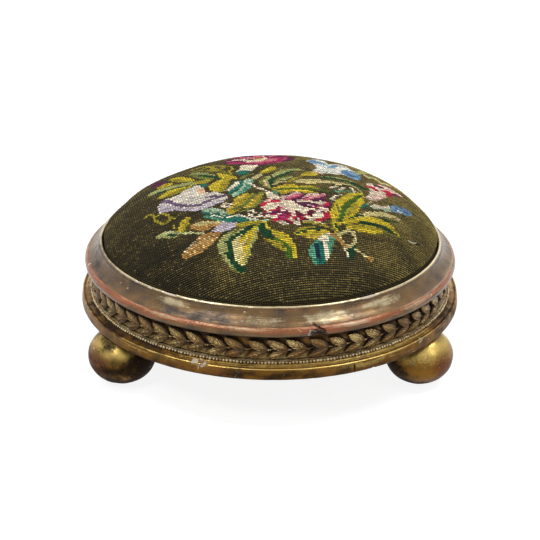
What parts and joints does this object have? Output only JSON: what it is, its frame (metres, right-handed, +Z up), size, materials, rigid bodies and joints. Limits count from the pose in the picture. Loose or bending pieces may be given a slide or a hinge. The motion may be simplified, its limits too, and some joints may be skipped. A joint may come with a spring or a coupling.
{
  "type": "footstool",
  "caption": "Round giltwood footstool: domed needlepoint cushion in a moulded rim, laurel garland frieze, spreading base on bun feet. Stands free as a foot rest.",
  "frame": {"origin": "on the axis of the round drum, at floor level, in the plane of the flats that the feet stand on", "axes": "+Z up; the front, which faces the viewer in the picture, is -Y; +X is to the viewer's right"},
  "size_m": [0.3599, 0.371, 0.1715],
  "materials": {
    "gilt_rim": "old gilding over red bole, worn satin",
    "gilt_frieze": "old gilding, shaded with dirt",
    "gilt_ornament": "gilded composition, rubbed on the high points",
    "gilt_base": "old gilding over red bole, worn satin",
    "gilt_feet": "old burnished gilding over red bole",
    "needlepoint": "wool cross stitch on canvas",
    "horsehair": "stuffing in unbleached calico",
    "board_wood": "sawn pine",
    "block_wood": "sawn pine",
    "screw_steel": "dull steel",
    "tack_iron": "blued cut tacks"
  },
  "bodies": {
    "root": {"rim_moulding": "gilt_rim", "frieze_drum": "gilt_frieze", "pearl_string": "gilt_ornament", "laurel_strip_1": "gilt_ornament", "laurel_strip_2": "gilt_ornament", "laurel_strip_3": "gilt_ornament", "laurel_strip_4": "gilt_ornament", "laurel_strip_5": "gilt_ornament", "laurel_strip_6": "gilt_ornament", "base_board": "gilt_base", "foot_front_left": "gilt_feet", "foot_front_right": "gilt_feet", "foot_back": "gilt_feet", "needlepoint_cover": "needlepoint", "horsehair_stuffing": "horsehair", "seat_board": "board_wood", "pad_fixing_blocks": "block_wood", "pad_fixing_screws": "screw_steel", "cover_tacks": "tack_iron"}
  },
  "joints": []
}
